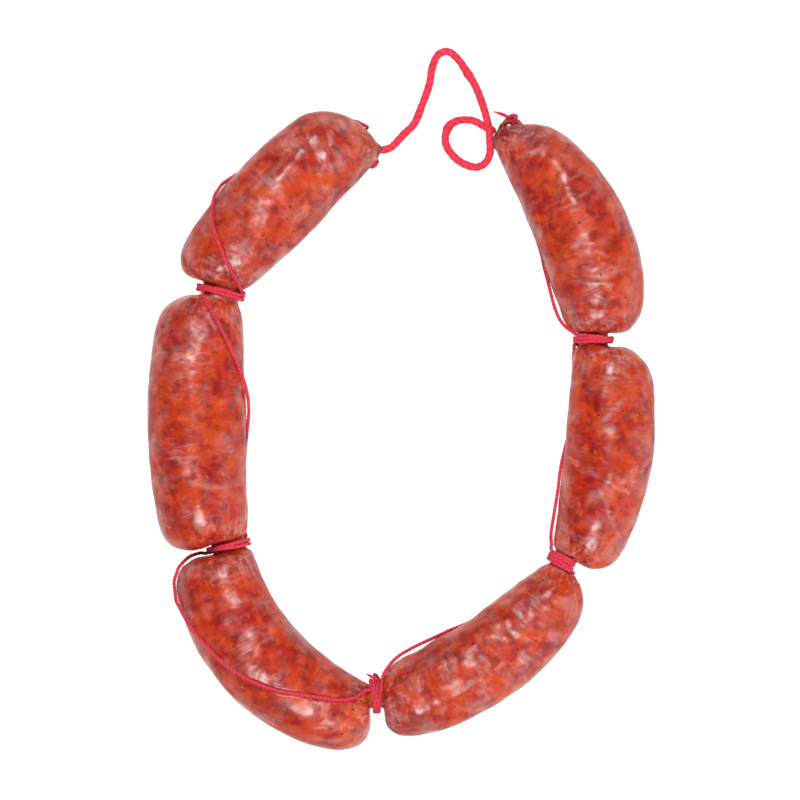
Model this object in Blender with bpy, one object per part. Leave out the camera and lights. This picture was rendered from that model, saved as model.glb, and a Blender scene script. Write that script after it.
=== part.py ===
"""A string of six fresh sausage links lying in an oval, seen from above as it rests on a table.

One filled casing is pinched into six links. A thin cotton thread runs along every link and is
wound round each waist, and a thicker twine joins the two ends of the string into a hanging loop.
The origin is under the middle of the oval, +Y runs along it and +Z is up.
"""

import math
from typing import NamedTuple

import bpy
from mathutils import Vector, noise
from mathutils.bvhtree import BVHTree

# Everything below is worked out in millimetres and scaled once, as the objects are made.
MM = 0.001
UP = Vector((0.0, 0.0, 1.0))

# How finely the links are lofted.
SIDES = 20
CAP_RINGS = 6
BODY_RINGS = 7

# The casing.
BODY_FLATNESS = 0.95     # height of a resting link over its width
BODY_SINK = 1.1          # how far a round link is pressed flat where it rests
WAIST_HEIGHT = 14.0      # height of the pinched waists above the table
PLEATS = 5
PLEAT_DEPTH = 0.45       # how deep the casing gathers towards a waist
LUMP_SIZE = 16.0
LUMP_HEIGHT = 0.45
LINK_SEED = 37.0         # sets one link's lumps apart from the next one's
WINDING_DEPTH = 2.1      # how high a winding stands on its waist
LEAN_RISE = 4.0          # over what height a shoulder comes to lean over the winding
LEAN_REACH = 22.0        # how far along the link the lean dies out
FACE_GAP = 0.3           # between solids that touch

# The tying thread.
THREAD_RADIUS = 0.62
THREAD_SLACK = 0.15      # how far a straight piece of the thread may cut a bend
THREAD_LIFT = THREAD_RADIUS + FACE_GAP + THREAD_SLACK
THREAD_PITCH = 1.4       # from one turn to the next round a waist
THREAD_ON_TABLE = THREAD_RADIUS + 0.1
TURN_POINTS = 10
FINE_STEP = 1.0
TAUT_ROUNDS = 15
THREAD_SMOOTHNESS = 1    # six sides

# The hanging twine.
TWINE_RADIUS = 1.5
TWINE_STEP = 4.5
TWINE_SMOOTHNESS = 2     # eight sides

# The gathered end of the casing.
END_SIDES = 10
END_CRUMPLE = 0.25       # how far its folds stand in and out, over how far it flares
END_FOLDS = 3


class Waist(NamedTuple):
    """A place where the casing is pinched: its centre, the way the string runs there, its size."""

    x: float
    y: float
    z: float
    heading: float       # degrees from +X towards +Y, along the string
    radius: float
    neck_before: float   # how far the pinched part reaches back along the string
    neck_after: float    # and how far forward
    crowd_before: float  # how far the link before leans over the winding, on its outer side
    crowd_after: float   # and the link after

    def frame(self):
        """Its centre, the way along the string, and the way out of the oval."""
        turn = math.radians(self.heading)
        onward = Vector((math.cos(turn), math.sin(turn), 0.0))
        return Vector((self.x, self.y, self.z)), onward, Vector((onward.y, -onward.x, 0.0))


class Link(NamedTuple):
    """A link's body, from the line between its two waists: near its start, its middle, its end."""

    outer: tuple         # how far the side away from the oval's middle swells past the waist
    inner: tuple         # how far the side towards the oval's middle swells past the waist
    shoulders: tuple     # lengths over which the body rounds up, at its start and its end
    fullness: tuple      # 2 is an elliptic shoulder, more is squarer


class Turns(NamedTuple):
    """A winding of the thread round a waist."""

    waist: Waist
    start: float         # degrees round the waist, as on the links
    end: float
    first: float         # where it starts along the string, from the waist's middle


WAISTS = (
    Waist(-8.0, 108.1, 8.0, 205, 1.8, 0.0, 0.8, 0.0, 0.0),
    Waist(-69.0, 53.0, WAIST_HEIGHT, 257, 7.3, 2.4, 3.9, 0.8, 0.0),
    Waist(-66.0, -44.0, WAIST_HEIGHT, 283, 6.5, 2.9, 2.5, 3.0, 2.2),
    Waist(-10.3, -101.0, WAIST_HEIGHT, 2, 4.6, 3.0, 3.7, 1.6, 1.8),
    Waist(60.5, -49.5, WAIST_HEIGHT, 65, 3.7, 3.4, 3.4, 1.6, 3.8),
    Waist(72.5, 34.5, WAIST_HEIGHT, 90, 5.7, 2.95, 2.95, 2.2, 2.2),
    Waist(35.5, 113.0, 6.0, 150, 2.0, 0.8, 0.0, 0.0, 0.0),
)
LINKS = (
    Link((25, 25.5, 14.8), (0, 1.5, 0), (18, 12), (1.7, 2.3)),
    Link((14.5, 22.5, 18), (1, 1, 1), (14, 11), (2.1, 2.4)),
    Link((13.8, 34, 15.5), (2, -9.5, -1.5), (10, 12), (2.6, 2.4)),
    Link((12.8, 26, 13.2), (4, -1.4, 0.5), (12, 16), (2.2, 1.9)),
    Link((14.5, 24.2, 14), (0, 0.1, 2), (10, 13), (2.4, 2.1)),
    Link((11.5, 28, 9), (3, 0, 1), (12, 16), (2.3, 1.6)),
)

# The gathered end of the casing beside the last tip: (x, y, z, radius), from inside the link.
CASING_END = (
    (47.0, 113.4, 5.6, 2.0), (45.4, 116.8, 3.9, 1.2), (44.3, 118.0, 3.4, 0.9),
    (40.7, 118.7, 3.2, 0.9), (39.8, 118.0, 3.4, 1.8), (38.3, 116.6, 3.5, 1.7),
    (36.8, 115.2, 3.6, 1.1),
)
CASING_KNOT = Waist(42.5, 118.35, 3.3, 169, 0.9, 0.0, 0.0, 0.0, 0.0)

# Where the thread runs on each link: the share of the way along, the degrees round, and how far it
# stands clear of the casing.
THREAD_ON_LINKS = (
    ((0.05, 175, 0), (0.09, 190, 0), (0.09, 240, 0), (0.05, 292, 0), (0.025, 332, 0),
     (0.02, 348, 0), (0.05, 325, 0), (0.15, 308, 0), (0.28, 308, 0), (0.43, 320, 0),
     (0.52, 340, 0), (0.59, 366, 0), (0.65, 385, 0), (0.72, 411, 0), (0.79, 438, 0),
     (0.85, 458, 0), (0.92, 484, 0), (0.96, 507, 0)),
    ((0.045, 66, 0), (0.12, 112, 0), (0.20, 129, 0), (0.28, 145, 0), (0.34, 158, 0),
     (0.41, 172, 0.2), (0.48, 183, 0.2), (0.60, 203, 0), (0.80, 212, 0), (0.96, 215, 0)),
    ((0.04, 0, 0), (0.10, 3, 0), (0.20, 27, 0), (0.30, 45, 0), (0.41, 59, 0), (0.54, 76, 0),
     (0.69, 98, 0), (0.79, 107, 0), (0.88, 118, 0), (0.95, 138, 0)),
    ((0.045, 160, 0.2), (0.09, 174, 0.8), (0.14, 176, 1.0), (0.20, 177, 1.0), (0.28, 181, 0.6),
     (0.36, 190, 0), (0.55, 214, 0), (0.70, 222, 0), (0.85, 228, 0), (0.91, 250, 0),
     (0.935, 285, 0), (0.95, 320, 0), (0.965, 350, 0)),
    ((0.05, 172, 0.5), (0.11, 177, 0.8), (0.20, 180, 0.3), (0.32, 184, 0), (0.42, 192, 0),
     (0.52, 206, 0), (0.65, 216, 0), (0.80, 216, 0), (0.95, 200, 0)),
    ((0.05, 172, 0.5), (0.10, 175, 1.0), (0.16, 176, 1.1), (0.24, 179, 0.5), (0.33, 190, 0),
     (0.45, 205, 0), (0.65, 212, 0), (0.84, 216, 0), (0.92, 236, 0), (0.955, 262, 0)),
)
# The first thread runs from the first tip to the third waist, where both are knotted.
FIRST_START = ((-10.9, 104.8, 4.8),)
FIRST_TURNS = (
    Turns(WAISTS[1], 160, 1120, -1.5),
    Turns(WAISTS[2], 215, 1070, -1.9),
    Turns(WAISTS[3], 120, 885, -1.9),
)
FIRST_TAIL = ((-10.9, -94.0, 16.6), (-13.7, -92.5, 15.8))
# The second one runs on from there, and under the last tip to the knot on the casing's end.
SECOND_TAIL = ((-11.2, -92.6, 12.4), (-9.8, -93.6, 12.6))
SECOND_START = Turns(WAISTS[3], 200, 510, 1.5)
SECOND_TURNS = (
    Turns(WAISTS[4], 10, 1245, -2.4),
    Turns(WAISTS[5], 190, 1230, -2.0),
)
LAST_APPROACH = ((39.4, 115.0, 0.75), (40.2, 119.0, 0.75), (42.0, 120.8, 0.75), (43.6, 120.7, 1.4))
LAST_TURNS = Turns(CASING_KNOT, 335, 750, -0.8)
LAST_TAIL = ((40.2, 120.1, 4.6), (38.6, 121.0, 2.6), (36.8, 121.7, 1.2), (34.9, 122.3, 0.75))

# The twine's route: from under the first tip up and round the loop, over its own end, round the
# curl and under itself to the last tip.
TWINE_ROUTE = (
    (-9.0, 107.1, 3.5), (-6.0, 107.8, 2.6), (-3.6, 109.1, 1.8), (0.6, 113.6, 1.55),
    (4.7, 117.9, 1.55), (7.9, 125.7, 1.55), (10.3, 132.7, 1.55), (11.5, 139.4, 1.55),
    (13.7, 144.0, 1.55), (17.6, 145.2, 1.55), (21.4, 142.2, 1.55), (24.4, 137.8, 1.6),
    (27.7, 132.5, 2.2), (29.9, 127.1, 3.4), (31.7, 121.4, 4.8), (33.0, 115.6, 4.9),
    (33.5, 110.5, 3.6), (33.5, 106.1, 2.2), (31.7, 102.5, 1.6), (27.9, 100.9, 1.55),
    (22.6, 102.7, 1.55), (18.4, 106.5, 1.55), (16.4, 111.1, 1.55), (17.6, 116.2, 1.55),
    (21.4, 118.8, 1.55), (26.9, 118.8, 1.55), (31.3, 116.6, 1.55), (35.9, 114.4, 1.55),
)


def clear_scene():
    for thing in list(bpy.data.objects):
        bpy.data.objects.remove(thing, do_unlink=True)


def new_collection(name):
    collection = bpy.data.collections.new(name)
    bpy.context.scene.collection.children.link(collection)
    return collection


def principled(name, colour, roughness):
    material = bpy.data.materials.new(name)
    material.use_nodes = True
    shader = material.node_tree.nodes["Principled BSDF"]
    shader.inputs["Base Color"].default_value = (*colour, 1.0)
    shader.inputs["Roughness"].default_value = roughness
    shader.inputs["Metallic"].default_value = 0.0
    return material


def blend(a, b, share):
    return a + (b - a) * share


def through_three(values, share):
    """The parabola through a value at the start, at the middle and at the end."""
    start, middle, end = values
    return (start * (1 - share) * (1 - 2 * share) + middle * 4 * share * (1 - share)
            + end * share * (2 * share - 1))


def smooth_step(share):
    share = min(max(share, 0.0), 1.0)
    return share * share * (3 - 2 * share)


def shoulder(distance, length, power):
    """0 at the neck, rising steeply and rounding over to 1 at `length`."""
    share = min(max(distance / length, 0.0), 1.0)
    return (1 - (1 - share) ** power) ** (1 / power)


def shoulder_steps(first, length, power):
    """Distances from the neck where a shoulder has grown to `first`, and on in even turns to 1."""
    turns = [math.sin(math.pi / 2 * i / (CAP_RINGS - 1)) for i in range(1, CAP_RINGS)]
    return [length * (1 - (1 - swell ** power) ** (1 / power)) for swell in [0.0, first, *turns]]


def around(degrees, outward):
    """The way from an axis at so many degrees: 0 out of the oval, 90 up and 180 into the oval."""
    turn = math.radians(degrees)
    return outward * math.cos(turn) + UP * math.sin(turn)


def smooth_route(knots, step):
    """Points a `step` apart on the smooth curve through the knots."""
    padded = [2 * knots[0] - knots[1], *knots, 2 * knots[-1] - knots[-2]]
    fine = []
    for a, b, c, d in zip(padded, padded[1:], padded[2:], padded[3:]):
        for i in range(24):
            t = i / 24
            fine.append(0.5 * (2 * b + (c - a) * t + (2 * a - 5 * b + 4 * c - d) * t * t
                               + (3 * b - a - 3 * c + d) * t ** 3))
    fine.append(knots[-1].copy())
    lengths = [0.0]
    for a, b in zip(fine, fine[1:]):
        lengths.append(lengths[-1] + (b - a).length)
    count = max(2, round(lengths[-1] / step))
    route, at = [], 0
    for i in range(count + 1):
        wanted = lengths[-1] * i / count
        while at < len(fine) - 2 and lengths[at + 1] < wanted:
            at += 1
        share = (wanted - lengths[at]) / max(lengths[at + 1] - lengths[at], 1e-9)
        route.append(fine[at].lerp(fine[at + 1], min(max(share, 0.0), 1.0)))
    return route


class Section(NamedTuple):
    centre: Vector
    outward: Vector
    width: float
    height: float
    swell: float


class LinkShape:
    """One link as sections along the line between its two waists."""

    def __init__(self, index):
        self.link = LINKS[index]
        self.start, self.end = WAISTS[index], WAISTS[index + 1]
        self.seed = Vector((0.0, 0.0, LINK_SEED * index))
        line = self.end.frame()[0] - self.start.frame()[0]
        line.z = 0.0
        self.length, self.line = line.length, line.normalized()
        self.turn = (self.end.heading - self.start.heading + 180) % 360 - 180

    def section(self, along):
        link, start, end = self.link, self.start, self.end
        from_start, from_end = along * self.length, (1 - along) * self.length
        rise = shoulder(from_start - start.neck_after, link.shoulders[0], link.fullness[0])
        fall = shoulder(from_end - end.neck_before, link.shoulders[1], link.fullness[1])
        swell = rise * fall
        waist = blend(start.radius, end.radius, along)
        outer, inner = through_three(link.outer, along), through_three(link.inner, along)
        width = waist + swell * (outer + inner) / 2
        height = width * blend(1.0, BODY_FLATNESS, swell)
        resting = (waist + (outer + inner) / 2) * BODY_FLATNESS - BODY_SINK

        between = (from_start - start.neck_after) / (self.length - start.neck_after - end.neck_before)
        heading = math.radians(start.heading + self.turn * min(max(between, 0.0), 1.0))
        outward = Vector((math.sin(heading), -math.cos(heading), 0.0))
        base = start.frame()[0].lerp(end.frame()[0], along)
        base.z = blend(base.z, resting, swell)
        # The necks run straight through their waists, whichever way the line between them goes.
        base += (start.frame()[1] - self.line) * min(from_start, start.neck_after) * (1 - rise)
        base -= (end.frame()[1] - self.line) * min(from_end, end.neck_before) * (1 - fall)
        centre = base + outward * swell * (outer - inner) / 2
        return Section(centre, outward, width, height, swell)

    def point(self, along, degrees):
        """A point of the casing, at so many degrees round the section."""
        cut = self.section(along)
        aim = around(degrees, cut.outward)
        place = cut.centre + Vector((aim.x * cut.width, aim.y * cut.width, aim.z * cut.height))
        gather = 4 * cut.swell * (1 - cut.swell)
        phase = math.radians(PLEATS * degrees) + 2 * self.seed.z
        lump = LUMP_HEIGHT * cut.swell * noise.noise(place / LUMP_SIZE + self.seed)
        place += aim * (lump - PLEAT_DEPTH * gather * math.cos(phase))
        place += self.lean(along, cut, place)
        place.z = max(place.z, 0.0)
        return place

    def lean(self, along, cut, place):
        """How the shoulders bulge over the winding beside them, where they stand clear of it."""
        onward = Vector((-cut.outward.y, cut.outward.x, 0.0))
        shift = Vector()
        for waist, away, crowd in ((self.start, along, -self.start.crowd_after),
                                   (self.end, 1 - along, self.end.crowd_before)):
            beside = place - Vector((waist.x, waist.y, waist.z))
            beside -= onward * beside.dot(onward)
            clear = smooth_step((beside.length - waist.radius - WINDING_DEPTH) / LEAN_RISE)
            facing = smooth_step((beside.dot(cut.outward) / beside.length + 1) / 2)
            near = max(0.0, 1 - away * self.length / LEAN_REACH)
            shift += onward * (crowd * clear * facing * near)
        return shift

    def stations(self):
        """Where the rings lie: the waist before, the shoulders with a ring level with the top of
        the winding, and the body between them."""
        steps = [shoulder_steps(WINDING_DEPTH / outer, length, power) for outer, length, power
                 in zip(self.link.outer[::2], self.link.shoulders, self.link.fullness)]
        rising = [self.start.neck_after + step for step in steps[0]]
        falling = [self.length - self.end.neck_before - step for step in reversed(steps[1])]
        gap = (falling[0] - rising[-1]) / (BODY_RINGS + 1)
        body = [rising[-1] + gap * (i + 1) for i in range(BODY_RINGS)]
        return [s / self.length for s in [0.0, *rising, *body, *falling]]

    def rings(self):
        return [[self.point(s, 360 * k / SIDES) for k in range(SIDES)] for s in self.stations()]


def loft(rings):
    """Vertices and faces of a closed solid through rings of equal size."""
    sides = len(rings[0])
    vertices = [place for ring in rings for place in ring]
    faces = []
    for ring in range(len(rings) - 1):
        here, there = ring * sides, (ring + 1) * sides
        for k in range(sides):
            right = (k + 1) % sides
            faces.append((here + k, there + k, there + right, here + right))
    last = (len(rings) - 1) * sides
    faces.append(tuple(range(sides)))
    faces.append(tuple(last + k for k in range(sides - 1, -1, -1)))
    return vertices, faces


def filled_casing(shapes):
    """The whole string of links in one piece, from tip to tip."""
    rings = [ring for shape in shapes for ring in shape.rings()]
    tip = shapes[-1]
    rings.append([tip.point(1.0, 360 * k / SIDES) for k in range(SIDES)])
    return loft(rings)


def casing_end():
    """The empty end of the casing, gathered by the thread and crumpled beyond it."""
    outward = CASING_KNOT.frame()[2]
    rings = []
    for x, y, z, radius in CASING_END:
        ring = []
        for k in range(END_SIDES):
            turn = 2 * math.pi * k / END_SIDES
            fold = END_CRUMPLE * (radius - CASING_KNOT.radius) * math.cos(END_FOLDS * turn)
            aim = around(math.degrees(turn), outward)
            ring.append(Vector((x, y, z)) + aim * (radius + fold))
        rings.append(ring)
    return loft(rings)


def add_solid(name, vertices, faces, material, collection):
    mesh = bpy.data.meshes.new(name)
    mesh.from_pydata([v * MM for v in vertices], [], faces)
    mesh.validate()
    mesh.shade_smooth()
    mesh.set_sharp_from_angle(angle=math.radians(50))
    mesh.materials.append(material)
    solid = bpy.data.objects.new(name, mesh)
    collection.objects.link(solid)
    return solid


def join_on(solid, extra):
    """Makes `extra` one piece with `solid`."""
    joint = solid.modifiers.new(extra.name, "BOOLEAN")
    joint.operation = "UNION"
    joint.solver = "EXACT"
    joint.object = extra
    extra.hide_render = True
    extra.hide_set(True)


def add_tube(name, points, radius, smoothness, material, collection):
    """A round cord along a polyline, with filled ends."""
    curve = bpy.data.curves.new(name, "CURVE")
    curve.dimensions = "3D"
    curve.bevel_depth = radius * MM
    curve.bevel_resolution = smoothness
    curve.use_fill_caps = True
    spline = curve.splines.new("POLY")
    spline.points.add(len(points) - 1)
    for knot, place in zip(spline.points, points):
        knot.co = (*(place * MM), 1.0)
    curve.materials.append(material)
    tube = bpy.data.objects.new(name, curve)
    collection.objects.link(tube)
    return tube


def winding(turns):
    """A helix round a waist, wide enough that its straight pieces clear the casing."""
    centre, onward, outward = turns.waist.frame()
    reach = (turns.waist.radius + THREAD_RADIUS + FACE_GAP) / math.cos(math.pi / TURN_POINTS)
    count = round((turns.end - turns.start) / 360 * TURN_POINTS)
    places = []
    for i in range(count + 1):
        turned = (turns.end - turns.start) * i / count
        along = turns.first + THREAD_PITCH * turned / 360
        places.append(centre + around(turns.start + turned, outward) * reach + onward * along)
    return places


def on_link(shape, spots):
    """The thread's way over one link, held off the casing by its own thickness."""
    places = []
    for along, degrees, clear in spots:
        place = shape.point(along, degrees)
        away = place - shape.section(along).centre
        places.append(place + away.normalized() * (THREAD_LIFT + clear))
    return places


def pulled_taut(knots, casing):
    """A route through the knots, tightened, and kept off the casing and the table."""
    route = smooth_route(knots, FINE_STEP)
    inside = range(1, len(route) - 1)
    for _ in range(TAUT_ROUNDS):
        for i in inside:
            route[i] = route[i].lerp((route[i - 1] + route[i + 1]) / 2, 0.5)
        for i in inside:
            near, normal, _, distance = casing.find_nearest(route[i])
            away = route[i] - near
            if away.dot(normal) < 0:
                route[i] = near + normal * THREAD_LIFT
            elif distance < THREAD_LIFT:
                route[i] = near + away.normalized() * THREAD_LIFT
            route[i].z = max(route[i].z, THREAD_ON_TABLE)
    return route


def thinned(route):
    """The route without the points that a straight piece passes within the thread's slack."""
    chord = route[-1] - route[0]
    misses = [0.0]
    for place in route[1:-1]:
        offset = place - route[0]
        share = min(max(offset.dot(chord) / chord.length_squared, 0.0), 1.0)
        misses.append((offset - chord * share).length)
    worst = max(misses)
    if worst < THREAD_SLACK:
        return [route[0], route[-1]]
    at = misses.index(worst)
    return thinned(route[:at + 1]) + thinned(route[at:])[1:]


def whole_thread(start, shapes, routes, held, casing):
    """A thread from its start, over each link in turn to what holds it there."""
    route = list(start)
    for shape, spots, stretch in zip(shapes, routes, held):
        over = pulled_taut([route[-1], *on_link(shape, spots), stretch[0]], casing)
        route += thinned(over)[1:-1] + stretch
    return route


def places_of(spots):
    return [Vector(spot) for spot in spots]


def main():
    clear_scene()
    collection = new_collection("sausage_links")
    meat = principled("casing", (0.52, 0.065, 0.045), 0.35)
    cotton = principled("thread", (0.72, 0.08, 0.12), 0.8)
    hanging = principled("twine", (0.90, 0.07, 0.12), 0.85)

    shapes = [LinkShape(i) for i in range(len(LINKS))]
    vertices, faces = filled_casing(shapes)
    string = add_solid("link_string", vertices, faces, meat, collection)
    end = add_solid("casing_end", *casing_end(), meat, collection)
    join_on(string, end)

    casing = BVHTree.FromPolygons(vertices, faces)
    held = [winding(turns) for turns in FIRST_TURNS]
    held[-1] += places_of(FIRST_TAIL)
    first = whole_thread(places_of(FIRST_START), shapes[:3], THREAD_ON_LINKS[:3], held, casing)
    held = [winding(turns) for turns in SECOND_TURNS]
    held.append(places_of(LAST_APPROACH) + winding(LAST_TURNS) + places_of(LAST_TAIL))
    start = places_of(SECOND_TAIL) + winding(SECOND_START)
    second = whole_thread(start, shapes[3:], THREAD_ON_LINKS[3:], held, casing)
    add_tube("thread_first", first, THREAD_RADIUS, THREAD_SMOOTHNESS, cotton, collection)
    add_tube("thread_second", second, THREAD_RADIUS, THREAD_SMOOTHNESS, cotton, collection)

    twine = smooth_route(places_of(TWINE_ROUTE), TWINE_STEP)
    add_tube("twine", twine, TWINE_RADIUS, TWINE_SMOOTHNESS, hanging, collection)


main()
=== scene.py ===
# %% [markdown]
# # A string of fresh sausage links
#
# Six fresh paprika sausages lie in an oval on a bright table. They are one long casing, pinched
# and tied at every waist with a thin red thread, with a soft red twine to hang them by.
#
# This lesson dresses the solid parts of the string. The solids give every size and place, and the
# lesson adds what makes them look like food: a casing that gathers at the ties, meat and fat that
# show through it, and cotton that is really spun. Lengths are in millimetres and are scaled once,
# where meshes are made.

import math

import bmesh
import bpy
import numpy as np
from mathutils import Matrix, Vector


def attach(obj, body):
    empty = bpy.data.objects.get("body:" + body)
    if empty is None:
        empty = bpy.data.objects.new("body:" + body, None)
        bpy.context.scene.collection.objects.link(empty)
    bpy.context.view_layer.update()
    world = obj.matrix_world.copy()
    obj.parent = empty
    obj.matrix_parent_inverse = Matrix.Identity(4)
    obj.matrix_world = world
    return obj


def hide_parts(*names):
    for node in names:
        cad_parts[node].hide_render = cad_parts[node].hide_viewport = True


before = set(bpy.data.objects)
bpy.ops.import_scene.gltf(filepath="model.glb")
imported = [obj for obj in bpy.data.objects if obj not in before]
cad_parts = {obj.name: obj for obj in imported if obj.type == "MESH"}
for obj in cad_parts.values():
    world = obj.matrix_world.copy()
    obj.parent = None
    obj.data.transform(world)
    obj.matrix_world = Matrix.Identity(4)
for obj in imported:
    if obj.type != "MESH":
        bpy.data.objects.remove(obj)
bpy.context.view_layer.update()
MM = 0.001
print("solid parts:", ", ".join(sorted(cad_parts)))

# %% [markdown]
# ## The camera
#
# The string is looked at from straight above, as a shop shows it. The lens is long and stands well
# back, so the sides of the links hardly show. The camera comes first.

# %%
VIEW_WIDTH = 304.0        # how much of the table the frame takes in, level with the links' middle
VIEW_CENTRE = (-0.95, 11.6)
LINK_MIDDLE = 16.0        # height of the links' middle above the table
LENS = 180.0
FILM = 36.0

camera = bpy.data.objects.new("camera", bpy.data.cameras.new("camera"))
camera.data.lens = LENS
camera.data.sensor_width = FILM
camera.location = Vector((*VIEW_CENTRE, LINK_MIDDLE + VIEW_WIDTH * LENS / FILM)) * MM
bpy.context.scene.collection.objects.link(camera)
bpy.context.scene.camera = camera
bpy.context.scene.view_settings.view_transform = "Standard"
print(f"camera {camera.location.z:.2f} m above the table")

# %% [markdown]
# ## Noise, smoothing and meshes
#
# Food has no straight lines, so nearly every form below starts from noise. This is gradient
# noise worked out for all points at once: each corner of a grid gets a random slope, and the
# slopes are blended smoothly across the cell. It gives the same result on every run.

# %%


def corner_slopes(cells, seed):
    """A repeatable random direction for each cell of a grid."""
    mixed = cells[:, 0] * 73856093 ^ cells[:, 1] * 19349663 ^ cells[:, 2] * 83492791 ^ seed * 2654435
    mixed = (mixed ^ (mixed >> 13)) * 1274126177 & 0x7FFFFFFF
    turn = (mixed & 0xFFFF) / 0xFFFF * 2 * math.pi
    height = (mixed >> 15 & 0xFFFF) / 0xFFFF * 2 - 1
    level = np.sqrt(1 - height ** 2)
    return np.stack([level * np.cos(turn), level * np.sin(turn), height], axis=1)


def noise(points, size, seed):
    """Smooth noise from about -1 to 1, whose lumps are `size` across."""
    scaled = points / size
    base = np.floor(scaled).astype(np.int64)
    inside = scaled - base
    fade = inside ** 3 * (inside * (inside * 6 - 15) + 10)
    total = np.zeros(len(points))
    for corner in np.ndindex(2, 2, 2):
        away = inside - corner
        share = np.prod(np.where(corner, fade, 1 - fade), axis=1)
        total += share * (corner_slopes(base + corner, seed) * away).sum(axis=1)
    return 1.6 * total


def creases(points, size, seed, sharpness=3.0):
    """0 over most of the surface and 1 along thin wandering lines."""
    return np.clip(1 - sharpness * np.abs(noise(points, size, seed)), 0, 1)


def smooth_step(low, high, values):
    share = np.clip((values - low) / (high - low), 0, 1)
    return share * share * (3 - 2 * share)


def make_mesh(name, points, faces):
    """A smooth mesh from points in millimetres and rows of corners."""
    mesh = bpy.data.meshes.new(name)
    mesh.vertices.add(len(points))
    mesh.vertices.foreach_set("co", (points * MM).astype(np.float32).ravel())
    mesh.loops.add(faces.size)
    mesh.loops.foreach_set("vertex_index", faces.astype(np.int32).ravel())
    mesh.polygons.add(len(faces))
    mesh.polygons.foreach_set("loop_start", np.arange(0, faces.size, faces.shape[1], dtype=np.int32))
    mesh.update(calc_edges=True)
    mesh.shade_smooth()
    return mesh


def store(mesh, name, values):
    """Keeps a number or a place on each point, for the material to use."""
    kind, field = ("FLOAT", "value") if values.ndim == 1 else ("FLOAT_VECTOR", "vector")
    mesh.attributes.new(name, kind, "POINT").data.foreach_set(field, values.astype(np.float32).ravel())


def place(name, mesh, material, slot, *nodes):
    """Puts a piece in the scene in place of the solid parts that it stands for."""
    piece = bpy.data.objects.new(name, mesh)
    bpy.context.scene.collection.objects.link(piece)
    mesh.materials.append(material)
    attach(piece, "root")
    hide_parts(*nodes)
    return piece


# %% [markdown]
# ## Writing materials as formulas
#
# A material is a graph of nodes, but it reads better as arithmetic. `Field` wraps one output of
# the graph, so fields can be added, multiplied and compared like numbers. `Recipe` holds one
# material, and its `node` method adds any other node: its type, its settings, then its sockets.

# %%


class Field:
    """One output of a material's graph, used like a number."""

    def __init__(self, recipe, socket):
        self.recipe, self.socket = recipe, socket

    def maths(self, operation, *values):
        return self.recipe.node("ShaderNodeMath", {"operation": operation}, dict(enumerate(values)))

    def __add__(self, other):
        return self.maths("ADD", self, other)

    def __sub__(self, other):
        return self.maths("SUBTRACT", self, other)

    def __rsub__(self, other):
        return self.maths("SUBTRACT", other, self)

    def __mul__(self, other):
        return self.maths("MULTIPLY", self, other)

    def __truediv__(self, other):
        return self.maths("DIVIDE", self, other)

    def __pow__(self, other):
        return self.maths("POWER", self, other)

    __radd__ = __add__
    __rmul__ = __mul__

    def size(self):
        return self.maths("ABSOLUTE", self)

    def step(self, low, high):
        """0 below `low`, 1 above `high` and smooth between them."""
        sockets = {"Value": self, "From Min": low, "From Max": high}
        return self.recipe.node("ShaderNodeMapRange", {"interpolation_type": "SMOOTHSTEP"}, sockets)


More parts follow.
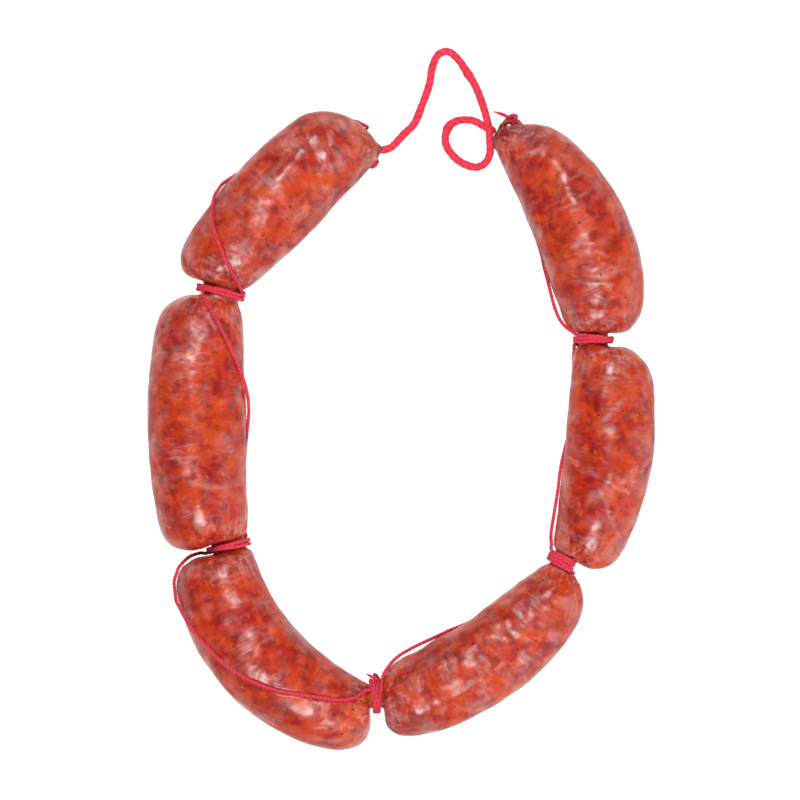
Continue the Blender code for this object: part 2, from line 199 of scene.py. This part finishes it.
class Recipe:
    """A material, and the fields that feed its Principled shader."""

    def __init__(self, name, **constants):
        self.material = bpy.data.materials.new(name)
        self.material.use_nodes = True
        self.tree = self.material.node_tree
        self.shader = self.tree.nodes["Principled BSDF"]
        for socket, value in constants.items():
            self.shader.inputs[socket.replace("_", " ")].default_value = value
        where = self.node("ShaderNodeTexCoord", {}, {}, "Object")
        scale = {"operation": "SCALE"}
        self.where = self.node("ShaderNodeVectorMath", scale, {0: where, "Scale": 1 / MM})

    def connect(self, socket, value):
        if isinstance(value, Field):
            self.tree.links.new(value.socket, socket)
        else:
            socket.default_value = value

    def node(self, kind, settings, sockets, output=0):
        node = self.tree.nodes.new(kind)
        for name, value in settings.items():
            setattr(node, name, value)
        for name, value in sockets.items():
            self.connect(node.inputs[name], value)
        return Field(self, node.outputs[output])

    def noise(self, size, detail=2.0, roughness=0.5, distortion=0.0, where=None):
        """Noise from 0 to 1 with lumps `size` millimetres across."""
        sockets = {"Vector": where or self.where, "Scale": 1 / size, "Detail": detail,
                   "Roughness": roughness, "Distortion": distortion}
        return self.node("ShaderNodeTexNoise", {}, sockets)

    def cells(self, size, output="Distance", where=None, **settings):
        sockets = {"Vector": where or self.where, "Scale": 1 / size}
        return self.node("ShaderNodeTexVoronoi", settings, sockets, output)

    def shifted(self, by, size, amount):
        """The place, pushed about by noise so that shapes made from it get ragged edges."""
        push = self.node("ShaderNodeTexNoise", {}, {"Vector": self.where, "Scale": 1 / size}, "Color")
        centred = self.node("ShaderNodeVectorMath", {"operation": "ADD"}, {0: push, 1: by})
        scaled = self.node("ShaderNodeVectorMath", {"operation": "SCALE"},
                           {0: centred, "Scale": amount})
        return self.node("ShaderNodeVectorMath", {"operation": "ADD"}, {0: self.where, 1: scaled})

    def stored_place(self, name):
        """A place in millimetres stored on each point of the mesh."""
        return self.node("ShaderNodeAttribute", {"attribute_name": name}, {}, "Vector")

    def stretched(self, where, by):
        return self.node("ShaderNodeVectorMath", {"operation": "MULTIPLY"}, {0: where, 1: by})

    def mix(self, share, first, second):
        """A colour `share` of the way from the first to the second."""
        first, second = (c if isinstance(c, Field) else (*c, 1.0) for c in (first, second))
        sockets = {0: share, 6: first, 7: second}
        return self.node("ShaderNodeMix", {"data_type": "RGBA"}, sockets, 2)

    def measure(self, name):
        """A number stored on each point of the mesh."""
        return self.node("ShaderNodeAttribute", {"attribute_name": name}, {}, "Fac")

    def bump(self, height, depth):
        """Relief whose `height` of 1 stands `depth` millimetres high."""
        return self.node("ShaderNodeBump", {}, {"Strength": 1.0, "Distance": depth * MM, "Height": height})

    def feed(self, **fields):
        for socket, value in fields.items():
            self.connect(self.shader.inputs[socket.replace("_", " ")], value)
        return self.material


# %% [markdown]
# ## The twine
#
# The hanging twine is soft three-strand cotton, about 3 mm thick. It runs from under the first
# link's tip up round a narrow loop, over its own end, round a small curl and under itself to the
# last tip. The route is the one that the solid part follows. The strands are modelled: the
# section has three lobes that turn as it goes, and lumps where the spinning is uneven.

# %%
TWINE_DIAMETER = 3.0
TWINE_ROUTE = (
    (-9.0, 107.1, 3.5), (-6.0, 107.8, 2.6), (-3.6, 109.1, 1.8), (0.6, 113.6, 1.55),
    (4.7, 117.9, 1.55), (7.9, 125.7, 1.55), (10.3, 132.7, 1.55), (11.5, 139.4, 1.55),
    (13.7, 144.0, 1.55), (17.6, 145.2, 1.55), (21.4, 142.2, 1.55), (24.4, 137.8, 1.6),
    (27.7, 132.5, 2.2), (29.9, 127.1, 3.4), (31.7, 121.4, 4.8), (33.0, 115.6, 4.9),
    (33.5, 110.5, 3.6), (33.5, 106.1, 2.2), (31.7, 102.5, 1.6), (27.9, 100.9, 1.55),
    (22.6, 102.7, 1.55), (18.4, 106.5, 1.55), (16.4, 111.1, 1.55), (17.6, 116.2, 1.55),
    (21.4, 118.8, 1.55), (26.9, 118.8, 1.55), (31.3, 116.6, 1.55), (35.9, 114.4, 1.55),
)
TWINE_KNOTS = ((25.4, 136.4, 1.6), (17.6, 116.2, 1.6))


def smooth_route(knots, step):
    """Points a `step` apart on the smooth curve through the knots."""
    knots = np.array(knots, float)
    padded = np.vstack([2 * knots[0] - knots[1], knots, 2 * knots[-1] - knots[-2]])
    a, b, c, d = (padded[i:len(padded) - 3 + i, None] for i in range(4))
    t = np.linspace(0, 1, 24, endpoint=False)[None, :, None]
    fine = 0.5 * (2 * b + (c - a) * t + (2 * a - 5 * b + 4 * c - d) * t ** 2
                  + (3 * b - a - 3 * c + d) * t ** 3)
    fine = np.vstack([fine.reshape(-1, 3), knots[-1]])
    run = np.concatenate([[0], np.cumsum(np.linalg.norm(np.diff(fine, axis=0), axis=1))])
    wanted = np.linspace(0, run[-1], max(2, round(run[-1] / step)) + 1)
    return np.stack([np.interp(wanted, run, fine[:, i]) for i in range(3)], axis=1)


def upright_frames(route):
    """The direction of the route, and two directions square to it that turn as little as they can."""
    along = np.gradient(route, axis=0)
    along /= np.linalg.norm(along, axis=1)[:, None]
    side = np.empty_like(along)
    last = np.cross(along[0], (0.0, 0.0, 1.0))
    for i, ahead in enumerate(along):
        last = last - ahead * (last @ ahead)
        last /= np.linalg.norm(last)
        side[i] = last
    return along, side, np.cross(along, side)


def spun_cord(name, route, radius, strands, lay, depth, around, taper, seed):
    """A cord of strands laid round each other: `radius` at each point, one turn in each `lay`."""
    along, side, up = upright_frames(route)
    run = np.concatenate([[0], np.cumsum(np.linalg.norm(np.diff(route, axis=0), axis=1))])
    ends = np.minimum(run / taper[0], (run[-1] - run) / taper[1])
    radius = radius * np.sqrt(np.clip(ends, 0.02, 1))
    track = np.stack([run, 0 * run, 0 * run], axis=1)
    radius = radius * (1 + 0.07 * noise(track, 0.6 * lay, seed) + 0.09 * noise(track, 1.6 * lay, seed + 1))
    turn = np.linspace(0, 2 * math.pi, around, endpoint=False)[None, :]
    laid = turn - (2 * math.pi * run / lay)[:, None]
    lobes = np.abs(np.cos(strands * laid / 2)) ** 0.8
    reach = radius[:, None] * (1 - depth + depth * lobes)
    ring = side[:, None] * np.cos(turn)[..., None] + up[:, None] * np.sin(turn)[..., None]
    points = (route[:, None] + ring * reach[..., None]).reshape(-1, 3)
    points[:, 2] = np.maximum(points[:, 2], 0.02)
    rows = np.arange(len(route) - 1)[:, None] * around
    here, beside = np.arange(around)[None, :], (np.arange(around) + 1)[None, :] % around
    faces = np.stack([rows + here, rows + beside, rows + around + beside, rows + around + here], -1)
    mesh = make_mesh(name, points, faces.reshape(-1, 4))
    store(mesh, "hollow_shade", (1 - lobes).ravel())
    return mesh


def cotton(name, light, deep, fibre, hollow_shade):
    """Dyed cotton: painted shade between the strands, so the crowns look paler; uneven dye and fine fibres.
    """
    recipe = Recipe(name, Specular_IOR_Level=0.12, Sheen_Weight=0.10, Sheen_Roughness=0.5,
                    Sheen_Tint=(1.0, 0.5, 0.6, 1.0), Subsurface_Weight=0.15,
                    Subsurface_Radius=(1.0, 0.3, 0.3), Subsurface_Scale=0.0008)
    uneven = recipe.noise(fibre * 9, 3.0)
    fibres = recipe.noise(fibre, 2.0, 0.6)
    # Uneven dye, plus painted shade in the grooves between the strands.
    colour = recipe.mix(uneven.step(0.3, 0.7) * 0.35 + recipe.measure("hollow_shade") * hollow_shade, light, deep)
    colour = recipe.mix(fibres.step(0.45, 0.8) * 0.25, colour, tuple(min(1, c * 1.5 + 0.04) for c in light))
    return recipe.feed(Base_Color=colour, Roughness=fibres * 0.15 + 0.75,
                       Normal=recipe.bump(fibres + uneven, 0.18))


twine_line = smooth_route(TWINE_ROUTE, 0.35)
thick = np.full(len(twine_line), TWINE_DIAMETER / 2)
for knot in TWINE_KNOTS:
    near = np.linalg.norm(twine_line - knot, axis=1)
    thick += 0.35 * np.exp(-(near / 1.8) ** 2)
twine_cotton = cotton("twine_cotton", (0.91, 0.058, 0.100), (0.58, 0.013, 0.035), 0.25, 0.45)
twine_mesh = spun_cord("hanging_twine", twine_line, thick, 3, 8.0, 0.09, 30, (1.0, 1.0), 5)
twine = place("hanging_twine", twine_mesh, twine_cotton, "twine", "twine")
print("twine: a strand of", len(twine_line), "sections")

# %% [markdown]
# ## The tying threads
#
# Each thread is thin two-ply cotton that runs along the links and winds round the waists. Its
# route was settled with the solids, where it was pulled taut over the links, so here it is read
# from the solid tube: starting at one end, each next ring of points is what the last one touches.

# %%
WAISTS = (  # x, y, z, the way the string runs there in degrees, radius
    (-8.0, 108.1, 8.0, 205, 1.8),
    (-69.0, 53.0, 14.0, 257, 7.3),
    (-66.0, -44.0, 14.0, 283, 6.5),
    (-10.3, -101.0, 14.0, 2, 4.6),
    (60.5, -49.5, 14.0, 65, 3.7),
    (72.5, 34.5, 14.0, 90, 5.7),
    (35.5, 113.0, 6.0, 150, 2.0),
)
WAIST_RADII = np.array([waist[4] for waist in WAISTS])


def waist_frames(points):
    """For each point its nearest waist, how far along and out from it it lies, and the angle."""
    centres = np.array([w[:3] for w in WAISTS])
    near = np.argmin(np.linalg.norm(points[:, None, :2] - centres[None, :, :2], axis=2), axis=1)
    heading = np.radians([w[3] for w in WAISTS])[near]
    onward = np.stack([np.cos(heading), np.sin(heading), 0 * heading], axis=1)
    outward = np.stack([onward[:, 1], -onward[:, 0], 0 * heading], axis=1)
    away = points - centres[near]
    along = (away * onward).sum(1)
    out, up = (away * outward).sum(1), away[:, 2]
    return near, along, np.hypot(out, up), np.arctan2(up, out)


# %% [markdown]
# A winding is never neat: its turns are drawn together on the side where the links crowd it, and
# they ride up over each other.

# %%
THREAD_RADIUS = 0.62
TUBE_SIDES = 6
THREADS = {
    "thread_first": ((-10.9, 104.8, 4.8), (1.5, 2.5)),
    "thread_second": ((-11.2, -92.6, 12.4), (0.4, 3.5)),
}


def tube_line(node, start):
    """The middle of a solid tube, from the end at `start` to the other."""
    tube = bmesh.new()
    tube.from_mesh(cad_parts[node].data)
    bmesh.ops.remove_doubles(tube, verts=tube.verts, dist=1e-6)
    ring = sorted(tube.verts, key=lambda v: (v.co / MM - Vector(start)).length)[:TUBE_SIDES]
    seen, line = set(ring), []
    while ring:
        line.append(np.mean([v.co / MM for v in ring], axis=0))
        touched = {edge.other_vert(v) for v in ring for edge in v.link_edges} - seen
        ring = sorted(touched, key=lambda v: v.index)
        seen.update(ring)
    tube.free()
    return np.array(line)


TIES = ((0, 0.0), (0, 0.45), (0, 0.50), (0, 0.50), (180, 0.25), (0, 0.55), (0, 0.0))


def loosened(line):
    """The line with its turns round each waist drawn together on one side, over each other."""
    near, along, out, angle = waist_frames(line)
    wound = smooth_step(4.5, 3.0, np.abs(along)) * smooth_step(3.0, 2.0, out - WAIST_RADII[near])
    tight = np.array([math.radians(side) for side, _ in TIES])[near]
    drawn = np.array([amount for _, amount in TIES])[near]
    share = wound * drawn * (0.5 + 0.5 * np.cos(angle - tight))
    run = np.stack([np.arange(len(line)) * 0.3, near * 50.0, 0 * along], axis=1)
    slide = -along * share + wound * 0.30 * noise(run, 6.0, 31)
    lift = wound * (0.10 + 0.25 * noise(run, 5.0, 32)) + share * 0.35
    heading = np.radians([w[3] for w in WAISTS])[near]
    onward = np.stack([np.cos(heading), np.sin(heading), 0 * heading], axis=1)
    outward = np.stack([onward[:, 1], -onward[:, 0], 0 * heading], axis=1)
    radial = outward * np.cos(angle)[:, None] + np.array([0.0, 0.0, 1.0]) * np.sin(angle)[:, None]
    return line + onward * slide[:, None] + radial * lift[:, None]


thread_cotton = cotton("thread_cotton", (0.86, 0.060, 0.110), (0.50, 0.012, 0.035), 0.12, 0.6)
thread_lines = {}
for node, (start, taper) in THREADS.items():
    line = loosened(smooth_route(tube_line(node, start), 0.3))
    mesh = spun_cord("tying_" + node, line, np.full(len(line), THREAD_RADIUS * 1.12), 2, 3.0, 0.22, 14,
                     taper, 11)
    place("tying_" + node, mesh, thread_cotton, "thread", node)
    thread_lines[node] = line
    print(node, "sections:", len(line))

# %% [markdown]
# ## The casing's surface
#
# The solid string is faceted. It is smoothed, remeshed at under half a millimetre and then shaped
# like real filled casing. It bears against the threads, gathers into pleats beside every tie,
# wrinkles a little, and bulges over the lumps of fat and meat under it.

# %%
SURFACE_STEP = 0.48

def fine_surface(node):
    """A smooth, evenly meshed copy of a solid part: its points, faces and normals."""
    shape = bmesh.new()
    shape.from_mesh(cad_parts[node].data)
    bmesh.ops.remove_doubles(shape, verts=shape.verts, dist=1e-6)
    bmesh.ops.join_triangles(shape, faces=shape.faces, angle_face_threshold=3.1,
                             angle_shape_threshold=3.1)
    mesh = bpy.data.meshes.new("fine")
    shape.to_mesh(mesh)
    shape.free()
    holder = bpy.data.objects.new("fine", mesh)
    bpy.context.scene.collection.objects.link(holder)
    finer = holder.modifiers.new("finer", "SUBSURF")
    finer.levels = finer.render_levels = 2
    even = holder.modifiers.new("even", "REMESH")
    even.mode = "VOXEL"
    even.voxel_size = SURFACE_STEP * MM
    result = bpy.data.meshes.new_from_object(holder.evaluated_get(bpy.context.evaluated_depsgraph_get()))
    bpy.data.objects.remove(holder)
    points = np.empty(len(result.vertices) * 3, np.float32)
    result.vertices.foreach_get("co", points)
    faces = np.empty(len(result.loops), np.int32)
    result.loops.foreach_get("vertex_index", faces)
    return points.reshape(-1, 3).astype(float) / MM, faces.reshape(-1, 4)


def relaxed(points, faces, rounds):
    """Each point moves to the middle of its neighbours, which takes out the grid's steps."""
    ends = np.concatenate([faces[:, [0, 1]], faces[:, [1, 2]], faces[:, [2, 3]], faces[:, [3, 0]]])
    count = np.bincount(ends[:, 0], minlength=len(points))[:, None]
    for _ in range(rounds):
        total = np.stack([np.bincount(ends[:, 0], points[ends[:, 1], i], len(points)) for i in range(3)], 1)
        points = points + 0.5 * (total / count - points)
    return points


def normals_of(points, faces):
    across = np.cross(points[faces[:, 2]] - points[faces[:, 0]], points[faces[:, 3]] - points[faces[:, 1]])
    normals = np.zeros_like(points)
    for i in range(4):
        for j in range(3):
            normals[:, j] += np.bincount(faces[:, i], across[:, j], len(points))
    return normals / np.linalg.norm(normals, axis=1)[:, None]


surface, faces = fine_surface("link_string")
surface = relaxed(surface, faces, 6)
facing = normals_of(surface, faces)
print("casing points:", len(surface))

# %% [markdown]
# ### Straightening the links
#
# Casing stretches, wrinkles and gathers along or across its link, so each point also needs its
# place on a straightened link: how far along it lies, how far to the side, and how high. The
# middle line of a link is a smooth curve from one waist to the next.

# %%
LINK_NAMES = ("first", "second", "third", "fourth", "fifth", "sixth")
LINK_APART = 300.0        # keeps one link's pattern apart from the next one's


def middle_line(index, steps=60):
    """The middle line of a link, and the direction that it runs in."""
    start, end = (np.array(WAISTS[index + i][:2]) for i in (0, 1))
    ahead = [np.array([math.cos(math.radians(WAISTS[index + i][3])),
                       math.sin(math.radians(WAISTS[index + i][3]))]) for i in (0, 1)]
    pull = 1.1 * np.linalg.norm(end - start)
    t = np.linspace(0, 1, steps)[:, None]
    line = ((2 * t ** 3 - 3 * t ** 2 + 1) * start + (t ** 3 - 2 * t ** 2 + t) * pull * ahead[0]
            + (3 * t ** 2 - 2 * t ** 3) * end + (t ** 3 - t ** 2) * pull * ahead[1])
    along = np.gradient(line, axis=0)
    return line, along / np.linalg.norm(along, axis=1)[:, None]


def straightened(points, owner):
    """Each point's place on its straightened link."""
    places = np.empty_like(points)
    for index in range(len(LINK_NAMES)):
        own = np.flatnonzero(owner == index)
        line, ahead = middle_line(index)
        run = np.concatenate([[0], np.cumsum(np.linalg.norm(np.diff(line, axis=0), axis=1))])
        away = points[own, None, :2] - line[None]
        nearest = np.argmin((away ** 2).sum(2), axis=1)
        away, ahead = away[np.arange(len(own)), nearest], ahead[nearest]
        places[own, 0] = run[nearest] + (away * ahead).sum(1) + LINK_APART * index
        places[own, 1] = away[:, 0] * ahead[:, 1] - away[:, 1] * ahead[:, 0]
        places[own, 2] = points[own, 2]
    return places


near, along, out, angle = waist_frames(surface)
owner = np.clip(np.where(along < 0, near - 1, near), 0, len(LINK_NAMES) - 1)
flat = straightened(surface, owner)
print("links are", np.round([np.ptp(flat[owner == i, 0]) for i in range(6)], 1), "mm long")

# %% [markdown]
# ### Pleats, lumps and the marks of the thread
#
# Casing gathers where it is tied, and the pleats fan out over the shoulders and fade. Between
# the ties it takes the shape of what fills it, which is lumpier in some links than in others.
# A few links have a long valley or a fold as well. Beside the thread the casing stands a little
# proud, and under the thread it is pressed in.

# %%
SWELL = 0.30              # how far the filled casing reaches past its solid, to bear on the thread
PLEAT_REACH = 9.0
PLEAT_HEIGHT = 0.5
LUMPINESS = (1.1, 0.9, 0.9, 1.4, 1.0, 1.2)
BROAD, COARSE, FINE = 0.75, 0.30, 0.05
VALLEYS = (  # from x, y to x, y, then width and depth; a depth below 0 stands proud
    (-64.0, 86.0, -44.0, 104.0, 2.6, 1.6),
    (-54.0, 87.0, -31.0, 111.5, 4.4, -1.0),
    (-97.0, 31.5, -84.0, 28.5, 1.8, 0.8),
    (-70.0, -86.5, -60.0, -93.0, 2.6, 0.9),
    (60.0, -9.0, 76.0, -19.0, 2.0, 0.5),
    (-2.0, -97.0, 6.0, -101.0, 1.0, 0.5),
    (36.5, -68.0, 44.0, -79.0, 2.6, 1.4),
)
# The folds are also painted paler in the casing's material: partly doubled skin, partly a painted highlight
# along each fold.
FOLDS = (  # doubled skin, which stands a little proud and looks pale: from x, y to x, y, width
    (-83.0, 26.4, -66.5, 32.6, 0.8), (-82.0, -19.0, -67.0, -21.5, 1.1),
    (61.0, -9.3, 75.0, -18.0, 1.0), (75.0, -18.0, 87.2, -23.4, 0.9),
    (73.2, 1.0, 84.6, 12.7, 1.0), (89.0, -17.0, 94.0, -8.6, 0.8),
    (76.2, -25.3, 81.9, -40.9, 0.9), (38.2, -70.9, 44.3, -78.9, 0.9),
    (44.3, -78.9, 53.0, -78.9, 0.8), (67.1, 72.8, 79.2, 65.2, 0.9),
    (64.8, 58.0, 79.2, 53.8, 1.0), (43.1, 102.4, 51.1, 105.8, 0.8),
    (-32.5, 104.3, -25.7, 97.9, 1.0), (-55.3, 83.4, -50.4, 80.0, 0.9),
)
FOLD_HEIGHT = 0.18
# The bulges also get painted sheen in the casing's material, as they sit where the highlights are.
BULGES = (  # where the filling pushes the casing up: x, y
    (-53.8, 82.3), (-61.4, 64.8), (-70.9, 61.0), (-27.6, 102.0), (-48.5, 94.4), (-45.0, 100.0),
    (-39.0, 106.0), (-32.0, 111.0), (-25.0, 113.0),
    (-80.0, 45.0), (-72.4, 48.8), (-80.7, 26.0), (-80.0, 19.2), (-81.5, -7.4), (-77.0, -31.0),
    (-65.2, -54.9), (-61.0, -66.3), (-56.0, -79.6), (-53.8, -91.0), (-47.3, -99.8),
    (-31.4, -105.0), (-26.4, -111.5),
    (55.3, -61.0), (50.0, -69.4), (41.5, -77.3), (44.2, -84.9), (24.9, -87.6), (17.5, -90.6),
    (29.1, -95.6), (13.1, -103.2), (5.1, -105.8),
    (79.5, 23.8), (77.6, -3.6), (79.5, -16.9), (73.2, -35.9), (71.3, -44.3),
    (53.4, 107.0), (57.6, 102.4), (61.8, 93.9), (63.7, 87.2), (67.3, 70.1), (72.0, 58.0),
    (75.0, 50.4), (73.2, 43.1),
)
BULGE_WIDTH = 4.6
BULGE_HEIGHT = 0.7
wander = 1.0 * noise(surface, 8.0, 21)[:, None]
upper = smooth_step(LINK_MIDDLE, LINK_MIDDLE + 6, surface[:, 2])


def near_line(points, x0, y0, x1, y1, width):
    """1 along a wandering line between two places on top of the links, fading to both sides."""
    start, run = np.array([x0, y0]), np.array([x1 - x0, y1 - y0])
    away = points[:, :2] + wander - start
    share = (away @ run) / (run @ run)
    off = np.linalg.norm(away - np.clip(share, 0, 1)[:, None] * run, axis=1)
    ends = smooth_step(-0.1, 0.25, share) * smooth_step(1.1, 0.75, share)
    return np.exp(-(off / width) ** 2) * ends * upper


spoke = np.stack([np.cos(angle) * 3.2, np.sin(angle) * 3.2, near * 7.0 + 0.02 * np.abs(along)], axis=1)
reach = np.hypot(np.maximum(np.abs(along) - 2.5, 0), np.maximum(out - 9, 0))
gather = np.exp(-(reach / PLEAT_REACH) ** 1.5) * smooth_step(1.5, 4.5, np.abs(along))
pleats = noise(spoke, 1.0, 3) - 0.6 * creases(spoke, 0.8, 4, 2.5)
lumpy = np.array(LUMPINESS)[owner]
rounded = 0.35 + 0.65 * np.clip(facing[:, 2], 0, 1) ** 2
lumps = BROAD * noise(flat, 9.5, 7) * rounded + COARSE * noise(flat * (0.8, 1, 1), 4.6, 8) * rounded
wrinkles = creases(flat * (1, 0.45, 0.45), 6.0, 12, 9.0) * 0.08
from_bulges = np.min([np.hypot(*(surface[:, :2] + wander - spot).T) for spot in BULGES], axis=0)
bulging = np.exp(-(from_bulges / BULGE_WIDTH) ** 2) * upper
folds = np.max([near_line(surface, *each) for each in FOLDS], axis=0)
swell = SWELL * smooth_step(2.0, 4.5, np.abs(along)) + PLEAT_HEIGHT * gather * pleats
swell += (lumpy * lumps + FINE * noise(flat, 2.2, 9) - wrinkles) * smooth_step(3.0, 11.0, np.abs(along))
swell += FOLD_HEIGHT * folds + BULGE_HEIGHT * bulging
scrap = (near == len(WAISTS) - 1) * smooth_step(4.5, 2.5, np.abs(along))
swell += scrap * (0.45 + 0.45 * noise(surface, 1.4, 41))
for *line, depth in VALLEYS:
    swell -= depth * near_line(surface, *line)


def distance_to(line, points, reach):
    """How far each point is from a line, up to `reach`, worked out cell by cell."""
    found = np.full(len(points), reach)
    for start in range(0, len(line), 60):
        part = line[start:start + 60]
        low, high = part.min(0) - reach, part.max(0) + reach
        close = np.flatnonzero(((points > low) & (points < high)).all(axis=1))
        if len(close):
            gaps = np.linalg.norm(points[close, None] - part[None], axis=2).min(axis=1)
            found[close] = np.minimum(found[close], gaps)
    return found


shaped = surface + facing * swell[:, None]
gap = np.minimum(*(distance_to(line, shaped, 4.0) for line in thread_lines.values()))
body = smooth_step(2.5, 4.0, np.abs(along))
shaped += facing * (0.30 * np.exp(-((gap - 1.5) / 0.8) ** 2) * body)[:, None]
shaped -= facing * np.maximum(THREAD_RADIUS + 0.25 - gap, 0)[:, None] * (0.8 * body)[:, None]
shaped[:, 2] = np.maximum(shaped[:, 2], 0.02)
at_tip = (near == 0) | (near == len(WAISTS) - 1)
dryness = at_tip * smooth_step(6.0, 1.5, np.hypot(np.abs(along), np.maximum(out - 1.5, 0)))
print(f"thread marks on {np.mean(gap < 2):.1%} of the casing")

# %% [markdown]
# ## What shows through the casing
#
# The filling is coarse: dark red lean meat, orange where paprika fat has soaked in, a few whole
# pieces of fat, and crushed pepper. Natural casing is a thin cloudy skin, so everything is a
# little veiled, more so in streaks across the link and where the skin gathers at the ties. Some of
# the pale pink is painted light: painted sheen on the bulges, where the highlights sit, and painted
# highlights on the pleats and along the folds. The pieces are cells whose edges are pushed about by
# noise, so that none of them is round.

# %%


def filled_casing_material():
    recipe = Recipe("filled_casing", Coat_Roughness=0.33, Coat_IOR=1.75, Specular_IOR_Level=0.12,
                    Subsurface_Weight=0.25, Subsurface_Radius=(1.0, 0.25, 0.15), Subsurface_Scale=0.0012,
                    Sheen_Weight=0.08, Sheen_Roughness=0.20, Sheen_Tint=(1.0, 0.85, 0.85, 1.0))
    flat = recipe.stored_place("straightened")
    ragged = recipe.shifted((-0.5, -0.5, -0.5), 1.9, 3.2)
    lean = recipe.noise(3.6, 3.0, 0.55)
    colour = recipe.mix(lean.step(0.36, 0.66), (0.26, 0.008, 0.007), (0.46, 0.018, 0.0075))
    soaked = recipe.noise(4.2, 3.0, 0.55) * 0.8 + recipe.noise(13.0, 1.0) * 0.8
    colour = recipe.mix(soaked.step(0.64, 0.98) * 0.8, colour, (0.60, 0.056, 0.006))
    deep = recipe.noise(2.6, 3.0, 0.6, where=ragged) + recipe.noise(12.0, 2.0) * 0.8
    colour = recipe.mix(deep.step(0.90, 1.22) * 0.55, colour, (0.17, 0.006, 0.005))

    which = recipe.cells(5.8, "Color", where=ragged)
    fat = (1 - recipe.cells(5.8, where=ragged).step(0.05, 0.50)) * which.size().step(0.48, 0.60)
    colour = recipe.mix(fat * 0.5, colour, (0.80, 0.110, 0.010))
    bits = 1 - recipe.cells(3.3, where=ragged).step(0.05, 0.30)
    few = recipe.noise(9.0, 1.0).step(0.54, 0.66)
    colour = recipe.mix(bits * few * 0.5, colour, (0.80, 0.22, 0.08))

    streaks = recipe.noise(1.9, 4.0, 0.55, 0.6, where=recipe.stretched(flat, (1.0, 0.28, 0.28)))
    cloud = recipe.noise(8.0, 2.0)
    gathered = recipe.measure("gather")
    bulging = recipe.measure("bulging")
    # Pale pink veil: the cloudy skin in streaks and where it gathers, plus painted sheen on the bulges,
    # where the highlights sit.
    veil_and_sheen = (streaks * 0.7 + cloud * 0.5).step(0.56, 0.84) * (gathered * 0.20 + bulging * 0.45 + 0.14)
    colour = recipe.mix(veil_and_sheen, colour, (0.74, 0.40, 0.38))
    # Pale streaks over the pleats by the ties: partly the doubled skin, partly a painted highlight on the
    # pleats.
    pleat_streaks_and_sheen = recipe.noise(1.7, 3.0, 0.5, 0.3, where=recipe.stretched(flat, (0.20, 1.0, 1.0)))
    colour = recipe.mix(gathered * pleat_streaks_and_sheen.step(0.50, 0.68) * 0.45, colour, (0.76, 0.42, 0.38))
    # Paler along the folds: partly the doubled skin, partly a painted highlight on each fold's ridge.
    colour = recipe.mix(recipe.measure("fold") * streaks.step(0.3, 0.7) * 0.35, colour, (0.78, 0.45, 0.42))
    pepper = (1 - recipe.cells(4.1).step(0.05, 0.15)) + (1 - recipe.cells(11.0).step(0.035, 0.075))
    colour = recipe.mix(pepper * 0.85, colour, (0.030, 0.016, 0.022))
    dry = recipe.measure("dry")
    scraps = recipe.mix(recipe.noise(1.3, 2.0).step(0.50, 0.60), (0.13, 0.020, 0.012), (0.50, 0.085, 0.010))
    colour = recipe.mix(dry * 0.85, colour, scraps)
    relief = recipe.noise(1.4, 3.0, 0.55)
    wet = cloud.step(0.40, 0.64) * 0.50 + bulging * 0.50 + 0.15
    return recipe.feed(Base_Color=colour, Coat_Weight=wet, Roughness=relief * 0.25 + 0.33,
                       Normal=recipe.bump(relief + streaks * 1.6, 0.16))


casing = filled_casing_material()

# %% [markdown]
# ## Six links
#
# The string is cut into its six links in the middle of each waist, under the thread, so that
# each mesh stays light. The links keep the normals of the whole string, so no cut shows.

# %%
smooth_normals = normals_of(shaped, faces)
for index, name in enumerate(LINK_NAMES):
    own = faces[owner[faces[:, 0]] == index]
    used, packed = np.unique(own, return_inverse=True)
    mesh = make_mesh(name + "_link", shaped[used], packed.reshape(own.shape))
    mesh.normals_split_custom_set_from_vertices(smooth_normals[used])
    store(mesh, "straightened", flat[used])
    store(mesh, "gather", gather[used])
    store(mesh, "fold", folds[used])
    store(mesh, "dry", dryness[used])
    store(mesh, "bulging", bulging[used])
    place(name + "_link", mesh, casing, "casing", "link_string")
    print(name, "link:", 2 * len(own), "triangles")

# %% [markdown]
# ## The table and the light
#
# The string lies on a white table that glows a little, like a light table, so that there is
# almost no shadow and the rims of the wet casing catch white light from below. Two soft lights
# above, one towards each end of the table, give the broken sheen along the tops of the links, and
# a low panel on the right adds a little light from that side.

# %%


def add_area_light(name, place_at, size, power, gloss=1.0, aim=(0, 0, 0)):
    light = bpy.data.lights.new(name, "AREA")
    light.shape = "RECTANGLE"
    light.size, light.size_y = size
    light.energy = power
    light.specular_factor = gloss
    lamp = bpy.data.objects.new(name, light)
    lamp.location = place_at
    lamp.rotation_mode = "QUATERNION"
    lamp.rotation_quaternion = (Vector(aim) - lamp.location).to_track_quat("-Z", "Y")
    bpy.context.scene.collection.objects.link(lamp)
    return lamp


floor_mesh = make_mesh("table", np.array([(-3000, -3000, 0), (3000, -3000, 0), (3000, 3000, 0),
                                          (-3000, 3000, 0)], float), np.array([[0, 1, 2, 3]]))
table = bpy.data.objects.new("table", floor_mesh)
bpy.context.scene.collection.objects.link(table)
white = Recipe("table_white", Base_Color=(0.15, 0.15, 0.15, 1), Roughness=0.9,
               Emission_Color=(1, 1, 1, 1), Emission_Strength=1.02, Specular_IOR_Level=0.1)
floor_mesh.materials.append(white.material)

for way in (1, -1):
    add_area_light("softbox", (-0.05, 0.62 * way, 0.95), (0.48, 0.48), 8.4)
add_area_light("side_panel", (1.0, -0.5, 0.35), (1.0, 0.6), 5.0, 0.3)
world = bpy.data.worlds.new("studio")
world.use_nodes = True
world.node_tree.nodes["Background"].inputs["Color"].default_value = (1, 1, 1, 1)
world.node_tree.nodes["Background"].inputs["Strength"].default_value = 0.12
bpy.context.scene.world = world
